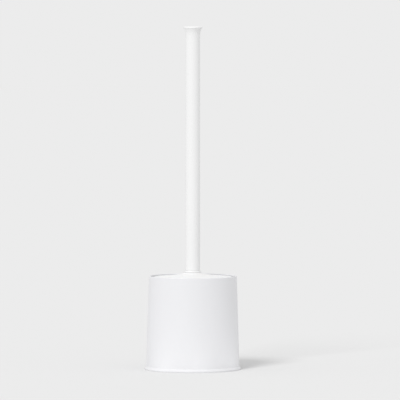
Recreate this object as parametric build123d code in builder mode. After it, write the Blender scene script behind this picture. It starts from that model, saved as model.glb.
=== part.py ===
from build123d import *
import os

os.makedirs("parts", exist_ok=True)

# Toilet plunger standing in its open holder.
# Origin: on the standing surface, on the axis of the holder and the handle. +Z is up. Millimetres.

# ---------------------------------------------------------------- driving dimensions
overall_height = 500.0
holder_height = 136.4
rim_radius = 64.0            # outside of the holder at its rim
foot_radius = 70.0           # outside of the holder's foot
grip_radius = 10.5           # handle
cup_radius = 59.0            # outside of the rubber cup's side wall
neck_height = 141.4          # top of the rubber neck, where the collar ring sits

fit_gap = 0.1                # between pieces that are fastened to each other
moving_gap = 0.3             # between pieces that move past each other

# holder
shell_wall = 2.2
standing_gap = 0.05          # the shell's foot stands this far off the floor, on the pads
foot_slope_top = 4.7
wall_foot_radius = 67.88     # side wall, carried down to the top of the foot
rebate_radius = 66.0         # seat of the base inside the foot
ledge_height = 7.6
floor_bottom = 3.4
floor_top = 5.4
drain_rib_top = 7.0
pad_radius = 6.0
pad_circle = 54.0
pad_count = 4
pad_thickness = 2.1

# rubber cup
cup_wall = 4.2
dome_curve = 300.0           # radius of the flat dome
neck_radius = 16.0
neck_base = 139.4
shoulder_radius = 55.0       # where the dome turns into the shoulder
shoulder_height = 135.2
wall_top = 130.4
crown_bottom = 124.0
skirt_bottom = 47.1
lip_top = 47.0
lip_bottom = 39.0
web_top = 44.2
web_bottom = 41.8
flange_radius = 34.2
flange_top = 44.6
flange_bottom = drain_rib_top + moving_gap

# screw joint between the handle and the cup
thread_pitch = 4.0
male_core = 7.4
male_crest = 8.6
female_core = 7.8
female_bore = 9.0
ridge_root = 1.7             # thickness of a thread ridge at its root
ridge_crest = 1.0            # and at its crest
insert_radius = 11.0
insert_ring = 12.6           # outside of the rings that hold it in the rubber
insert_bottom = 112.1
insert_floor = 114.6
insert_top = 141.3
female_ridge_bottom = 117.0
male_ridge_bottom = female_ridge_bottom + thread_pitch / 2
plug_bottom = 117.0
collar_radius = 12.0
collar_bottom = 141.5
collar_top = 144.2
tube_bottom = 144.3
tube_bore = 8.5
plug_shoulder = 9.7          # the plug's shoulder, sunk into the end of the tube
plug_shoulder_top = 145.6

# handle top
cap_radius = 13.7
cap_thickness = 2.3
cap_crown = 0.8              # how far the middle of the cap stands above its edge
cap_rounding = 1.2
flare_start = 487.0
flare_end_radius = 12.8
flare_end_height = 496.3


def ring_section(*corners):
    """Closed section beside the Z axis, from (radius, height, rounding) corners."""
    points = [(radius, height) for radius, height, rounding in corners]
    roundings = [rounding for radius, height, rounding in corners]
    FilletPolyline(*points, radius=roundings, close=True)


def helical_ridge(root, crest, bottom, height):
    """A thread ridge from radius root to radius crest, climbing one pitch a turn."""
    into_wall = 0.2 if crest > root else -0.2
    with BuildPart(mode=Mode.PRIVATE) as ridge:
        with BuildLine(mode=Mode.PRIVATE) as path:
            Helix(pitch=thread_pitch, height=height, radius=root, center=(0, 0, bottom))
        start = Plane(origin=path.line @ 0, x_dir=(1, 0, 0), z_dir=path.line % 0)
        with BuildSketch(start):
            with BuildLine():
                Polyline(
                    (-into_wall, ridge_root / 2),
                    (crest - root, ridge_crest / 2),
                    (crest - root, -ridge_crest / 2),
                    (-into_wall, -ridge_root / 2),
                    close=True,
                )
            make_face()
        sweep(path=path.line, is_frenet=True)
    return ridge.part


# ---------------------------------------------------------------- holder shell
# A tapered sleeve, open at both ends, with a rounded rim and a flared foot.
# Inside the foot a rebate with a snap groove takes the base.
with BuildPart() as holder_shell:
    with BuildSketch(Plane.XZ):
        with BuildLine():
            ring_section(
                (rebate_radius, standing_gap, 0.3),
                (foot_radius, standing_gap, 0.2),
                (foot_radius, 1.8, 1.2),
                (wall_foot_radius, foot_slope_top, 0.8),
                (rim_radius, holder_height, 1.05),
                (rim_radius - shell_wall, holder_height, 1.05),
                (rebate_radius - 1.1, ledge_height, 0.3),
                (rebate_radius, ledge_height, 0),
                (rebate_radius, 4.9, 0),
                (rebate_radius + 0.45, 4.6, 0),
                (rebate_radius + 0.45, 3.9, 0),
                (rebate_radius, 3.6, 0),
            )
        make_face()
    revolve(axis=Axis.Z)
holder_shell.part.label = "holder_shell"
export_step(holder_shell.part, "parts/holder_shell.step")

# ---------------------------------------------------------------- holder base
# The floor and drip tray: a snap-in disc, ribbed above to drain and below to stiffen.
base_radius = rebate_radius - fit_gap
upstand = 2.1
with BuildPart() as holder_base:
    with BuildSketch(Plane.XZ):
        with BuildLine():
            ring_section(
                (0, floor_bottom, 0),
                (base_radius - upstand, floor_bottom, 0),
                (base_radius - upstand, 1.2, 0.5),
                (base_radius, 1.2, 0.5),
                (base_radius, 3.7, 0),
                (base_radius + 0.4, 4.0, 0),
                (base_radius + 0.4, 4.5, 0),
                (base_radius, 4.8, 0),
                (base_radius, ledge_height - fit_gap, 0.4),
                (base_radius - upstand, ledge_height - fit_gap, 0.8),
                (base_radius - upstand, floor_top, 1.2),
                (0, floor_top, 0),
            )
        make_face()
    revolve(axis=Axis.Z)
    # drain ribs, which carry the plunger clear of the drips
    with BuildSketch(Plane.XY.offset(floor_top)):
        with PolarLocations(37, 8):
            SlotOverall(48, 2.4)
        Circle(12)
        Circle(9.6, mode=Mode.SUBTRACT)
    extrude(amount=drain_rib_top - floor_top)
    # stiffening ribs under the floor
    with BuildSketch(Plane.XY.offset(1.6)):
        with PolarLocations(33.5, 8, start_angle=22.5):
            Rectangle(60, 1.6)
        Circle(30.8)
        Circle(29.2, mode=Mode.SUBTRACT)
        with PolarLocations(33.5, 8, start_angle=22.5):
            Rectangle(60, 1.6)
        Circle(4.5)
    extrude(amount=floor_bottom - 1.6)
    # pockets for the non-slip pads
    with BuildSketch(Plane.XY.offset(0.9)):
        with PolarLocations(pad_circle, pad_count, start_angle=45):
            Circle(pad_radius + 1.8)
    extrude(amount=floor_bottom - 0.9)
    with BuildSketch(Plane.XY.offset(0.9)):
        with PolarLocations(pad_circle, pad_count, start_angle=45):
            Circle(pad_radius + fit_gap)
    extrude(amount=pad_thickness + fit_gap - 0.9, mode=Mode.SUBTRACT)
holder_base.part.label = "holder_base"
export_step(holder_base.part, "parts/holder_base.step")

# ---------------------------------------------------------------- non-slip pads
for number in range(pad_count):
    pad_place = Plane.XY.rotated((0, 0, 45 + 360 / pad_count * number))
    with BuildPart() as non_slip_pad:
        with BuildSketch(pad_place):
            with Locations((pad_circle, 0)):
                Circle(pad_radius)
        extrude(amount=pad_thickness)
        fillet(non_slip_pad.edges().group_by(Axis.Z)[0], 0.4)
    non_slip_pad.part.label = f"non_slip_pad_{number + 1}"
    export_step(non_slip_pad.part, f"parts/non_slip_pad_{number + 1}.step")

# ---------------------------------------------------------------- cup neck
# The thick middle of the rubber cup: the neck, and the boss below it that grips the insert.
boss_radius = 17.5
boss_bottom = 109.5
inner_radius = cup_radius - cup_wall
with BuildPart() as cup_neck:
    with BuildSketch(Plane.XZ):
        with BuildLine():
            ring_section(
                (0, boss_bottom, 0),
                (boss_radius, boss_bottom, 1.5),
                (boss_radius, neck_base - 0.4, 0),
                (neck_radius, neck_base, 0),
                (collar_radius + 0.5, neck_height, 0.4),
                (insert_radius + fit_gap, neck_height, 0),
                (insert_radius + fit_gap, 130.1, 0),
                (insert_ring + fit_gap, 130.1, 0),
                (insert_ring + fit_gap, 127.9, 0),
                (insert_radius + fit_gap, 127.9, 0),
                (insert_radius + fit_gap, 120.1, 0),
                (insert_ring + fit_gap, 120.1, 0),
                (insert_ring + fit_gap, 117.9, 0),
                (insert_radius + fit_gap, 117.9, 0),
                (insert_radius + fit_gap, insert_bottom - fit_gap, 0),
                (0, insert_bottom - fit_gap, 0),
            )
        make_face()
    revolve(axis=Axis.Z)
cup_neck.part.label = "cup_neck"
export_step(cup_neck.part, "parts/cup_neck.step")

# ---------------------------------------------------------------- cup crown
# The flat dome and the shoulder that turns it down into the side wall.
crown_hole = boss_radius + fit_gap
with BuildPart() as cup_crown:
    with BuildSketch(Plane.XZ):
        with BuildLine():
            dome = RadiusArc((crown_hole, neck_base - 0.4), (shoulder_radius, shoulder_height), dome_curve)
            shoulder = TangentArc(dome @ 1, (cup_radius, wall_top), tangent=dome % 1)
            Polyline(
                shoulder @ 1,
                (cup_radius, crown_bottom),
                (inner_radius, crown_bottom),
                (inner_radius, wall_top),
            )
            ceiling_edge = (shoulder_radius - 1, shoulder_height - cup_wall)
            ceiling = RadiusArc((crown_hole, neck_base - 0.4 - cup_wall), ceiling_edge, dome_curve)
            TangentArc(ceiling @ 1, (inner_radius, wall_top), tangent=ceiling % 1)
            Line(ceiling @ 0, dome @ 0)
        make_face()
    revolve(axis=Axis.Z)
cup_crown.part.label = "cup_crown"
export_step(cup_crown.part, "parts/cup_crown.step")

# ---------------------------------------------------------------- cup skirt
# The side wall that gives way when the cup is pushed down.
with BuildPart() as cup_skirt:
    with BuildSketch(Plane.XZ):
        with BuildLine():
            ring_section(
                (inner_radius, crown_bottom - fit_gap, 0),
                (cup_radius, crown_bottom - fit_gap, 0),
                (cup_radius, skirt_bottom, 0),
                (inner_radius + 0.9, skirt_bottom, 0),
            )
        make_face()
    revolve(axis=Axis.Z)
cup_skirt.part.label = "cup_skirt"
export_step(cup_skirt.part, "parts/cup_skirt.step")

# ---------------------------------------------------------------- cup lip
# The thick sealing lip, with the thin web that carries the flange.
lip_radius = cup_radius + 0.9
with BuildPart() as cup_lip:
    with BuildSketch(Plane.XZ):
        with BuildLine():
            ring_section(
                (flange_radius + 0.4, web_bottom, 0.6),
                (50.6, web_bottom, 2.0),
                (52.6, lip_bottom, 1.0),
                (57.0, lip_bottom, 1.8),
                (lip_radius, 43.0, 2.5),
                (cup_radius, lip_top, 0),
                (inner_radius + 0.9, lip_top, 0),
                (50.8, web_top, 2.0),
                (flange_radius + 0.4, web_top, 0.6),
            )
        make_face()
    revolve(axis=Axis.Z)
cup_lip.part.label = "cup_lip"
export_step(cup_lip.part, "parts/cup_lip.step")

# ---------------------------------------------------------------- cup flange
# The fold-out sleeve that enters the drain; it pushes up into the cup for flat drains.
flange_wall = 2.6
with BuildPart() as cup_flange:
    with BuildSketch(Plane.XZ):
        with BuildLine():
            ring_section(
                (flange_radius - 4.0, flange_bottom, 1.6),
                (flange_radius, flange_bottom, 1.9),
                (flange_radius, 12.4, 1.2),
                (flange_radius - 0.8, 13.6, 1.5),
                (flange_radius, flange_top, 0.6),
                (flange_radius - flange_wall, flange_top, 0.6),
                (flange_radius - 0.8 - flange_wall, 13.6, 1.5),
                (flange_radius - 4.0, 12.4, 0.8),
            )
        make_face()
    revolve(axis=Axis.Z)
cup_flange.part.label = "cup_flange"
export_step(cup_flange.part, "parts/cup_flange.step")

# ---------------------------------------------------------------- socket insert
# The hard threaded socket moulded into the rubber neck.
with BuildPart() as socket_insert:
    with BuildSketch(Plane.XZ):
        with BuildLine():
            ring_section(
                (0, insert_bottom, 0),
                (insert_radius, insert_bottom, 0.6),
                (insert_radius, 118.0, 0),
                (insert_ring, 118.0, 0),
                (insert_ring, 120.0, 0),
                (insert_radius, 120.0, 0),
                (insert_radius, 128.0, 0),
                (insert_ring, 128.0, 0),
                (insert_ring, 130.0, 0),
                (insert_radius, 130.0, 0),
                (insert_radius, insert_top, 0.3),
                (female_bore, insert_top, 0.3),
                (female_bore, insert_floor, 0),
                (0, insert_floor, 0),
            )
        make_face()
    revolve(axis=Axis.Z)
    add(helical_ridge(female_bore, female_core, female_ridge_bottom, 20.0))
socket_insert.part.label = "socket_insert"
export_step(socket_insert.part, "parts/socket_insert.step")

# ---------------------------------------------------------------- collar ring
# The loose ring that spreads the handle's load over the soft neck.
with BuildPart() as collar_ring:
    with BuildSketch(Plane.XZ):
        with BuildLine():
            ring_section(
                (male_crest + moving_gap, collar_bottom, 0.2),
                (collar_radius, collar_bottom, 0.4),
                (collar_radius, collar_top, 1.5),
                (male_crest + moving_gap, collar_top, 0.2),
            )
        make_face()
    revolve(axis=Axis.Z)
collar_ring.part.label = "collar_ring"
export_step(collar_ring.part, "parts/collar_ring.step")

# ---------------------------------------------------------------- threaded plug
# Closes the lower end of the tube and screws into the socket insert.
plug_top = 172.0
plug_spigot = tube_bore - 0.15
crush_rib = 0.25             # height of each crush rib, a little more than the gap
with BuildPart() as threaded_plug:
    with BuildSketch(Plane.XZ):
        with BuildLine():
            ring_section(
                (0, plug_bottom, 0),
                (male_core, plug_bottom, 1.0),
                (male_core, collar_bottom - 1.5, 0),
                (male_crest, collar_bottom - 0.3, 0),
                (male_crest, tube_bottom, 0),
                (plug_shoulder, tube_bottom, 0.2),
                (plug_shoulder, plug_shoulder_top, 0.2),
                (plug_spigot, plug_shoulder_top, 0),
                (plug_spigot, plug_top, 1.0),
                (5.4, plug_top, 0.3),
                (5.0, 122.0, 0),
                (0, 122.0, 0),
            )
        make_face()
    revolve(axis=Axis.Z)
    with BuildSketch(Plane.XY.offset(plug_shoulder_top)):
        with PolarLocations(plug_spigot - 0.15, 6):
            Circle(crush_rib + 0.15)
    extrude(amount=plug_top - plug_shoulder_top - 3)
    add(helical_ridge(male_core, male_crest, male_ridge_bottom, 18.0))
threaded_plug.part.label = "threaded_plug"
export_step(threaded_plug.part, "parts/threaded_plug.step")

# ---------------------------------------------------------------- handle tube
# A straight tube. Its top flares out into a rounded lip under the cap.
# Its lower end is bored out for the plug's shoulder.
tube_top = overall_height - cap_thickness - 0.05
with BuildPart() as handle_tube:
    with BuildSketch(Plane.XZ):
        with BuildLine():
            side = Line((grip_radius, tube_bottom + 0.2), (grip_radius, flare_start))
            flare = TangentArc(side @ 1, (flare_end_radius, flare_end_height), tangent=(0, 1))
            lip = TangentArc((cap_radius, tube_top), flare @ 1, tangent=(0, -1))
            Polyline(
                lip @ 0,
                (11.0, tube_top),
                (tube_bore, flare_start + 1),
                (tube_bore, plug_shoulder_top + fit_gap),
                (plug_shoulder + 0.05, plug_shoulder_top + fit_gap),
                (plug_shoulder + 0.05, tube_bottom),
                (grip_radius - 0.2, tube_bottom),
                side @ 0,
            )
        make_face()
    revolve(axis=Axis.Z)
handle_tube.part.label = "handle_tube"
export_step(handle_tube.part, "parts/handle_tube.step")

# ---------------------------------------------------------------- handle cap
# A thin, slightly crowned disc on a hollow spigot that is pressed into the top of the tube.
cap_underside = overall_height - cap_thickness
cap_spigot = tube_bore - 0.15
crown_curve = (cap_radius**2 + cap_crown**2) / (2 * cap_crown)
crown_edge_drop = cap_crown * (1 - cap_rounding / cap_radius) ** 2
crown_edge = (cap_radius - cap_rounding, overall_height - crown_edge_drop)
with BuildPart() as handle_cap:
    with BuildSketch(Plane.XZ):
        with BuildLine():
            crown = RadiusArc((0, overall_height), crown_edge, crown_curve)
            edge = TangentArc(crown @ 1, (cap_radius, crown_edge[1] - cap_rounding * 0.95), tangent=crown % 1)
            Polyline(
                edge @ 1,
                (cap_radius, cap_underside),
                (10.8, cap_underside),
                (cap_spigot, flare_start + 1),
                (cap_spigot, 470.6),
                (cap_spigot - 0.6, 470.0),
                (6.3, 470.0),
                (6.3, 495.0),
                (5.3, 496.0),
                (0, 496.0),
                crown @ 0,
            )
        make_face()
    revolve(axis=Axis.Z)
    with BuildSketch(Plane.XY.offset(473)):
        with PolarLocations(cap_spigot - 0.15, 6):
            Circle(crush_rib + 0.15)
    extrude(amount=13)
handle_cap.part.label = "handle_cap"
export_step(handle_cap.part, "parts/handle_cap.step")
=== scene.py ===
import math

import bmesh
import bpy
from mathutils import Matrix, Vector, noise


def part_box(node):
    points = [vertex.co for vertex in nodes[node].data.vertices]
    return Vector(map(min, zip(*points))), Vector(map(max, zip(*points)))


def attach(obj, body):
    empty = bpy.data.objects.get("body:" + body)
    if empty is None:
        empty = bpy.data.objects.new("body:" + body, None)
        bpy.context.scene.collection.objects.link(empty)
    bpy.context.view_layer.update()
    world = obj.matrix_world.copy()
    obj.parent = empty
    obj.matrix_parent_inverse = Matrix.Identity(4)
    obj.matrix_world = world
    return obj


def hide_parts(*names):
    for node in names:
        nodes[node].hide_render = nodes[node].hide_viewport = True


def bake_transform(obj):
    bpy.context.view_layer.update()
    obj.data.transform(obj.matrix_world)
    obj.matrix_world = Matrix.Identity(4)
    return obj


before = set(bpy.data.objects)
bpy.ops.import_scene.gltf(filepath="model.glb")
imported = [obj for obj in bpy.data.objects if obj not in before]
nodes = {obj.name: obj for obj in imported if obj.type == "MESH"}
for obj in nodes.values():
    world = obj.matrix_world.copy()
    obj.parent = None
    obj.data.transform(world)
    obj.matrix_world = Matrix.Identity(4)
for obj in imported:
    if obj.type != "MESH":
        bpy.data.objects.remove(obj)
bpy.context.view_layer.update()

MM = 0.001
SEGMENTS = 240            # facets round every turned piece
STIFF_RADIUS = 20         # mm: nearer the axis than this, rubber keeps its exact shape
WOBBLES_PER_METRE = 28    # scale of the slight unevenness of the rubber
SAME_PLACE = 1e-6         # vertices or outline points nearer than this are one


# ---------------------------------------------------------------- outlines, in millimetres
def arc(centre, radius, start, end, steps):
    """Points on a circular arc in the (radius, height) plane, from start to end degrees."""
    points = []
    for i in range(steps + 1):
        angle = math.radians(start + (end - start) * i / steps)
        points.append((centre[0] + radius * math.cos(angle), centre[1] + radius * math.sin(angle)))
    return points


def rounded(corners, steps=6):
    """Closed outline from (radius, height, rounding) corners, each rounding drawn as an arc."""
    outline = []
    for i, (x, y, rounding) in enumerate(corners):
        here = Vector((x, y))
        if rounding <= 0:
            outline.append((x, y))
            continue
        to_last = (Vector(corners[i - 1][:2]) - here).normalized()
        to_next = (Vector(corners[(i + 1) % len(corners)][:2]) - here).normalized()
        half = to_last.angle(to_next) / 2
        centre = here + (to_last + to_next).normalized() * (rounding / math.sin(half))
        first = here + to_last * (rounding / math.tan(half)) - centre
        last = here + to_next * (rounding / math.tan(half)) - centre
        start = math.degrees(math.atan2(first.y, first.x))
        turn = (math.degrees(math.atan2(last.y, last.x)) - start + 180) % 360 - 180
        outline += arc(centre, rounding, start, start + turn, steps)
    return outline


def supported(outline, spacing=3.0, margin=0.25):
    """Adds points on the straights, close to their ends too, so that smooth shading stays in the curves."""
    points = []
    for i, start in enumerate(outline):
        a, b = Vector(start), Vector(outline[(i + 1) % len(outline)])
        length = (b - a).length
        if length < SAME_PLACE:
            continue
        points.append(tuple(a))
        if length > 4 * margin:
            inner = max(1, math.ceil((length - 2 * margin) / spacing))
            for k in range(inner + 1):
                along = margin + (length - 2 * margin) * k / inner
                points.append(tuple(a.lerp(b, along / length)))
    return points


# ---------------------------------------------------------------- meshes
def turned(name, outline, material, wobble=0.0):
    """A closed piece turned about Z. wobble, in mm, bends it a little, as soft rubber is, off the neck."""
    mesh = bpy.data.meshes.new(name)
    bm = bmesh.new()
    rings = []
    for k in range(SEGMENTS):
        angle = math.tau * k / SEGMENTS
        ring = []
        for radius, height in outline:
            place = Vector((radius * math.cos(angle), radius * math.sin(angle), height)) * MM
            softness = min(1, max(0, (radius - STIFF_RADIUS) / STIFF_RADIUS))
            place += noise.noise_vector(place * WOBBLES_PER_METRE) * wobble * softness * MM
            ring.append(bm.verts.new(place))
        rings.append(ring)
    count = len(outline)
    for k, ring in enumerate(rings):
        after = rings[(k + 1) % SEGMENTS]
        for i in range(count):
            j = (i + 1) % count
            bm.faces.new((ring[i], after[i], after[j], ring[j]))
    # points on the axis fall together, which leaves a few faceless edges and vertices
    bmesh.ops.remove_doubles(bm, verts=bm.verts, dist=SAME_PLACE)
    for edge in [e for e in bm.edges if not e.link_faces]:
        bm.edges.remove(edge)
    for vert in [v for v in bm.verts if not v.link_faces]:
        bm.verts.remove(vert)
    bmesh.ops.recalc_face_normals(bm, faces=bm.faces)
    bm.to_mesh(mesh)
    bm.free()
    mesh.polygons.foreach_set("use_smooth", [True] * len(mesh.polygons))
    mesh.materials.append(material)
    piece = bpy.data.objects.new(name, mesh)
    bpy.context.scene.collection.objects.link(piece)
    return piece


# ---------------------------------------------------------------- materials
class Surface:
    """A Principled material with helpers for the nodes that vary over the surface."""

    def __init__(self, name):
        self.material = bpy.data.materials.new(name)
        self.material.use_nodes = True
        self.tree = self.material.node_tree
        self.shader = self.tree.nodes["Principled BSDF"]
        self.place = self.tree.nodes.new("ShaderNodeTexCoord").outputs["Object"]

    def node(self, kind, **inputs):
        """A new node, with each named input set to a value or linked to a socket."""
        made = self.tree.nodes.new(kind)
        for key, value in inputs.items():
            socket = made.inputs[key.replace("_", " ")]
            if isinstance(value, bpy.types.NodeSocket):
                self.tree.links.new(value, socket)
            else:
                socket.default_value = value
        return made

    def stretched(self, x, y, z):
        """The place on the object, scaled by x, y and z."""
        made = self.tree.nodes.new("ShaderNodeMapping")
        made.inputs["Scale"].default_value = (x, y, z)
        self.tree.links.new(self.place, made.inputs["Vector"])
        return made.outputs["Vector"]

    def noise(self, scale, detail=2.0, vector=None):
        """Noise from 0 to 1, with scale features to the metre or so."""
        made = self.node("ShaderNodeTexNoise", Scale=scale, Detail=detail, Vector=vector or self.place)
        return made.outputs["Fac"]

    def fitted(self, value, low, high, to_low, to_high):
        """value, moved from the range low to high into the range to_low to to_high, and held there."""
        made = self.node("ShaderNodeMapRange", Value=value)
        made.inputs["From Min"].default_value = low
        made.inputs["From Max"].default_value = high
        made.inputs["To Min"].default_value = to_low
        made.inputs["To Max"].default_value = to_high
        return made.outputs["Result"]

    def mixed(self, share, first, second):
        """A colour between first and second, which are colours or sockets."""
        made = self.tree.nodes.new("ShaderNodeMix")
        made.data_type = "RGBA"
        self.tree.links.new(share, made.inputs["Factor"])
        colour_a, colour_b, colour_out = made.inputs[6], made.inputs[7], made.outputs[2]
        for socket, colour in ((colour_a, first), (colour_b, second)):
            if isinstance(colour, bpy.types.NodeSocket):
                self.tree.links.new(colour, socket)
            else:
                socket.default_value = (*colour, 1)
        return colour_out

    def added(self, first, second):
        """The sum of two sockets."""
        made = self.tree.nodes.new("ShaderNodeMath")
        made.operation = "ADD"
        self.tree.links.new(first, made.inputs[0])
        self.tree.links.new(second, made.inputs[1])
        return made.outputs[0]

    def height(self, value, distance):
        """Adds a bump of value, distance metres high, on top of any bump made before."""
        made = self.node("ShaderNodeBump", Height=value, Distance=distance, Strength=1.0)
        before = self.shader.inputs["Normal"].links
        if before:
            self.tree.links.new(before[0].from_socket, made.inputs["Normal"])
        self.tree.links.new(made.outputs["Normal"], self.shader.inputs["Normal"])

    def use(self, socket, value):
        """Links value to the shader's input of that name."""
        self.tree.links.new(value, self.shader.inputs[socket])


def moulded_plastic(name, colour, roughness, grain_mm=0.35, grain_height=0.004):
    """White injection-moulded plastic: spark texture, faint flow lines, haze and a few rubbed places."""
    s = Surface(name)
    # flow lines, drawn out along the piece, in a slightly darker white
    flow = s.noise(9.0, 3.0, s.stretched(1, 1, 0.22))
    darker = tuple(c * 0.982 for c in colour)
    s.use("Base Color", s.mixed(s.fitted(flow, 0.3, 0.7, 0, 1), darker, colour))
    # an uneven sheen, with fine lengthwise rubbing in places
    haze = s.noise(60.0, 4.0)
    sheen = s.fitted(haze, 0.3, 0.7, roughness - 0.035, roughness + 0.035)
    rubbed = s.noise(700.0, 2.0, s.stretched(1, 1, 0.05))
    s.use("Roughness", s.added(sheen, s.fitted(rubbed, 0.62, 0.72, 0.0, 0.05)))
    # the mould's spark texture, and a very shallow waviness
    s.height(s.noise(1 / (grain_mm * MM), 2.0), grain_height * MM)
    s.height(s.noise(38.0, 1.0), 0.03 * MM)
    return s.material


def soft_rubber(name, colour, roughness):
    """Matte thermoplastic rubber: fine skin, mottling, and a few specks of dust."""
    s = Surface(name)
    # mottled colour with dust specks
    mottle = s.noise(45.0, 5.0)
    specks = s.noise(900.0, 2.0)
    darker = tuple(c * 0.96 for c in colour)
    dusty = tuple(c * 0.90 for c in colour)
    skin = s.mixed(s.fitted(mottle, 0.3, 0.7, 0, 1), darker, colour)
    s.use("Base Color", s.mixed(s.fitted(specks, 0.66, 0.74, 0, 0.6), skin, dusty))
    s.use("Roughness", s.fitted(s.noise(120.0, 3.0), 0.3, 0.7, roughness - 0.06, roughness + 0.06))
    # a fine skin on a coarser unevenness
    s.height(s.noise(2600.0, 2.0), 0.006 * MM)
    s.height(s.noise(160.0, 2.0), 0.03 * MM)
    # a little light passes through the rubber
    s.shader.inputs["Subsurface Weight"].default_value = 0.15
    s.shader.inputs["Subsurface Radius"].default_value = (1.0, 0.9, 0.8)
    s.shader.inputs["Subsurface Scale"].default_value = 1.5 * MM
    s.shader.inputs["Specular IOR Level"].default_value = 0.4
    return s.material


holder_white = moulded_plastic("holder_white", (0.738, 0.739, 0.756), 0.42)
base_white = moulded_plastic("base_white", (0.75, 0.75, 0.765), 0.46)
handle_white = moulded_plastic("handle_white", (0.80, 0.80, 0.80), 0.36, grain_height=0.0012)
joint_white = moulded_plastic("joint_white", (0.74, 0.735, 0.71), 0.34, grain_mm=0.6)
cup_white = soft_rubber("cup_white", (0.79, 0.79, 0.79), 0.62)
pad_grey = soft_rubber("pad_grey", (0.32, 0.32, 0.31), 0.7)

finishes = {
    "holder_shell": holder_white,
    "holder_base": base_white,
    "handle_tube": handle_white,
    "handle_cap": handle_white,
    "collar_ring": handle_white,
    "socket_insert": joint_white,
    "threaded_plug": joint_white,
}
for name in nodes:
    if name.startswith("non_slip_pad"):
        finishes[name] = pad_grey
for name, finish in finishes.items():
    nodes[name].data.materials.clear()
    nodes[name].data.materials.append(finish)


# ---------------------------------------------------------------- rubber cup
def bowed(start, end, radius, steps):
    """Points from start to end on an arc of that radius, which bulges to the left of the way along it."""
    a, b = Vector(start), Vector(end)
    along = b - a
    side = Vector((-along.y, along.x)).normalized()
    centre = (a + b) / 2 - side * math.sqrt(radius**2 - (along.length / 2) ** 2)
    first = math.degrees(math.atan2(a.y - centre.y, a.x - centre.x))
    turn = (math.degrees(math.atan2(b.y - centre.y, b.x - centre.x)) - first + 180) % 360 - 180
    return arc(centre, radius, first, first + turn, steps)


def ribs(radius, heights, height, half_width, steps=8):
    """Points up or down a wall of that radius, with a soft raised ring at each height."""
    points = []
    rising = 1 if heights[0] < heights[-1] else -1
    for middle in heights:
        for i in range(steps + 1):
            share = 2 * i / steps - 1
            swell = height * (1 + math.cos(math.pi * share)) / 2
            points.append((radius + swell, middle + rising * share * half_width))
    return points


def mm_box(node):
    """The lowest and highest corners of a CAD node's box, in millimetres."""
    low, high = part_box(node)
    return low / MM, high / MM


neck_low, neck_high = mm_box("cup_neck")
crown_low = mm_box("cup_crown")[0]
lip_low, lip_high = mm_box("cup_lip")
flange_low, flange_high = mm_box("cup_flange")
DOME_CURVE = 300          # mm: radius of the dome's slight curve, inside and out
cup_radius = 59.0
wall = 4.2
inside = cup_radius - wall
neck = neck_high.z        # height of the neck's top, from which the crown is measured
skirt_top, skirt_bottom = crown_low.z, lip_high.z
boss_radius, boss_bottom = neck_high.x, neck_low.z
web_hole = flange_high.x + 0.3
web_top, web_bottom = 44.2, 41.8
pocket, ring_pocket = 11.1, 12.7
grooves = [neck - 11.3, neck - 21.3]
groove_width = 2.2
pocket_bottom = neck - 29.4

dome_foot = (16.0, neck - 2.0)
shoulder = (55.0, neck - 6.2)
turn_radius = 4.85        # of the shoulder, from the dome down to the wall
turn_centre = (cup_radius - turn_radius, shoulder[1] - 4.78)
dome = bowed(shoulder, dome_foot, DOME_CURVE, 18)
shoulder_turn = arc(turn_centre, turn_radius, 0, 74, 12)
inner_centre = (inside - 3.0, turn_centre[1] - 3.4)
inner_turn = arc(inner_centre, 3.0, 74, 0, 8)
ceiling = bowed((boss_radius + 2.2, neck - 6.3), inner_turn[0], DOME_CURVE, 14)
insert_pocket = [(pocket, neck)]
for groove in grooves:
    insert_pocket += [
        (pocket, groove),
        (ring_pocket, groove),
        (ring_pocket, groove - groove_width),
        (pocket, groove - groove_width),
    ]
insert_pocket += [(pocket, pocket_bottom), (0, pocket_bottom)]
cup_outline = (
    # the boss, and the underside of the dome
    [(0, boss_bottom)]
    + arc((boss_radius - 1.5, boss_bottom + 1.5), 1.5, 270, 360, 6)
    + arc((boss_radius + 2.2, neck - 8.5), 2.2, 180, 90, 6)
    + ceiling[1:]
    + inner_turn[1:]
    # inner wall, web and lip
    + rounded([
        (inside, 60, 0),
        (inside + 0.9, skirt_bottom, 0),
        (50.8, web_top, 2.0),
        (web_hole, web_top, 1.1),
        (web_hole, web_bottom, 1.1),
        (50.6, web_bottom, 2.0),
        (52.6, lip_low.z, 1.0),
        (57.0, lip_low.z, 1.8),
        (lip_high.x + 0.4, 43.0, 2.5),
        (cup_radius, skirt_bottom, 0),
    ])
    # outer wall with its flex ribs and the mould's parting line
    + ribs(cup_radius, [60, 74, 88, 102], 0.55, 2.2)
    + ribs(cup_radius, [neck - 20], 0.16, 0.35)
    + shoulder_turn
    + dome[1:-1]
    # the neck, and the pocket with two grooves for the rings of the insert
    + arc((dome_foot[0] + 0.3, dome_foot[1] + 1.9), 1.9, 262, 200, 6)
    + arc((12.1, neck - 0.5), 0.5, 10, 90, 4)
    + insert_pocket
)
rubber_cup = turned("rubber_cup", supported(cup_outline), cup_white, wobble=0.22)
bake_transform(rubber_cup)
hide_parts("cup_neck", "cup_crown", "cup_skirt", "cup_lip")

# ---------------------------------------------------------------- rubber flange
sleeve = flange_high.x
thick = 2.6
flange_outline = rounded([
    (sleeve - 4.0, flange_low.z, 1.6),
    (sleeve, flange_low.z, 1.9),
    (sleeve, 12.4, 1.2),
    (sleeve - 0.8, 13.6, 1.5),
    (sleeve - 0.4, 28.0, 8.0),
    (sleeve - 0.05, flange_high.z, 0.8),
    (sleeve - thick, flange_high.z, 0.8),
    (sleeve - 0.8 - thick, 13.6, 1.5),
    (sleeve - 4.0, 12.4, 0.8),
])
rubber_flange = turned("rubber_flange", supported(flange_outline), cup_white, wobble=0.1)
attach(rubber_flange, "flange")
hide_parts("cup_flange")

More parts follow.
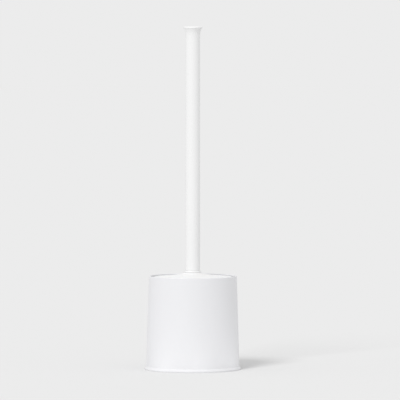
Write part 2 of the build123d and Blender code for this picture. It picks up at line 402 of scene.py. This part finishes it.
# ---------------------------------------------------------------- stage, light and camera
BACKGROUND = 0.838        # brightness of the empty studio, all round
KEY = 0.36                # what each of these lights adds to a white face turned to it
TOP = 0.14
FLOOR_KEY = 0.54          # a light for the floor alone, which throws the soft shadow
FLOOR_KEY_HEIGHT = 39     # degrees above the horizon
BOUNCE_SIZE = 0.08        # metres across
JUST_ABOVE_FLOOR = 0.001
FLOOR_DROP = 0.03 * MM    # keeps the floor clear of the foot
FLOOR_RADIUS = 18         # metres

world = bpy.data.worlds.new("studio")
bpy.context.scene.world = world
world.use_nodes = True
world.node_tree.nodes["Background"].inputs["Color"].default_value = (BACKGROUND, BACKGROUND, BACKGROUND, 1)


def sun(name, strength, left, height, softness):
    """A soft far light, at left degrees to the left of the camera and height degrees above level."""
    light = bpy.data.lights.new(name, "SUN")
    light.energy = strength * math.pi
    light.angle = math.radians(softness)
    lamp = bpy.data.objects.new(name, light)
    bpy.context.scene.collection.objects.link(lamp)
    azimuth, elevation = math.radians(left), math.radians(height)
    level = math.cos(elevation)
    toward = Vector((-math.sin(azimuth) * level, -math.cos(azimuth) * level, math.sin(elevation)))
    lamp.rotation_euler = toward.to_track_quat("Z", "Y").to_euler()
    return lamp


key = sun("key", KEY, 30, 33, 30)
top = sun("top", TOP, 0, 84, 50)
floor_key = sun("floor_key", FLOOR_KEY, 24, FLOOR_KEY_HEIGHT, 19)

# light thrown back by the floor on to the foot, most on its shaded side: place and watts
bounces = [(0.098, -0.062, 0.009), (0.018, -0.112, 0.004), (-0.072, -0.086, 0.004)]
for number, (x, y, watts) in enumerate(bounces):
    bounce = bpy.data.lights.new(f"bounce_{number}", "AREA")
    bounce.shape = "DISK"
    bounce.size = BOUNCE_SIZE
    bounce.energy = watts
    bounce_lamp = bpy.data.objects.new(f"bounce_{number}", bounce)
    bounce_lamp.location = (x, y, JUST_ABOVE_FLOOR)
    bounce_lamp.rotation_euler = (math.pi, 0, 0)  # upwards
    bounce_lamp.visible_camera = False
    bpy.context.scene.collection.objects.link(bounce_lamp)

# the lit floor is as bright as the background, so that no horizon shows
floor_light = FLOOR_KEY * math.sin(math.radians(FLOOR_KEY_HEIGHT))
floor_colour = BACKGROUND / (BACKGROUND + floor_light)
floor_surface = Surface("floor")
floor_surface.shader.inputs["Roughness"].default_value = 1.0
floor_surface.shader.inputs["Base Color"].default_value = (floor_colour, floor_colour, floor_colour, 1)
floor_surface.shader.inputs["Specular IOR Level"].default_value = 0.0
mesh = bpy.data.meshes.new("floor")
bm = bmesh.new()
bmesh.ops.create_circle(bm, cap_ends=True, segments=96, radius=FLOOR_RADIUS)
bm.to_mesh(mesh)
bm.free()
mesh.materials.append(floor_surface.material)
floor = bpy.data.objects.new("floor", mesh)
floor.location.z = -FLOOR_DROP
bpy.context.scene.collection.objects.link(floor)

# the floor key lights only the floor; key and top light everything else
floor_alone = bpy.data.collections.new("floor_alone")
floor_alone.objects.link(floor)
all_but_floor = bpy.data.collections.new("all_but_floor")
all_but_floor.objects.link(floor)
all_but_floor.collection_objects[0].light_linking.link_state = "EXCLUDE"
floor_key.light_linking.receiver_collection = floor_alone
key.light_linking.receiver_collection = all_but_floor
top.light_linking.receiver_collection = all_but_floor

PICTURE_WIDTH = 400       # pixels
FOCAL_PIXELS = 5178
MM_PER_PIXEL = 1.4565     # at the object
CAMERA_HEIGHT = 2.54      # degrees above level
SENSOR_WIDTH = 36         # mm
aim = Vector((0.0104, 0, 0.2470))
distance = FOCAL_PIXELS * MM_PER_PIXEL * MM
camera = bpy.data.objects.new("camera", bpy.data.cameras.new("camera"))
camera.data.sensor_width = SENSOR_WIDTH
camera.data.lens = SENSOR_WIDTH * FOCAL_PIXELS / PICTURE_WIDTH
camera.data.clip_end = 100
rise = math.radians(CAMERA_HEIGHT)
back = Vector((0, -math.cos(rise), math.sin(rise)))
camera.location = aim + back * distance
camera.rotation_euler = back.to_track_quat("Z", "Y").to_euler()
bpy.context.scene.collection.objects.link(camera)
bpy.context.scene.camera = camera
bpy.context.scene.view_settings.view_transform = "Standard"
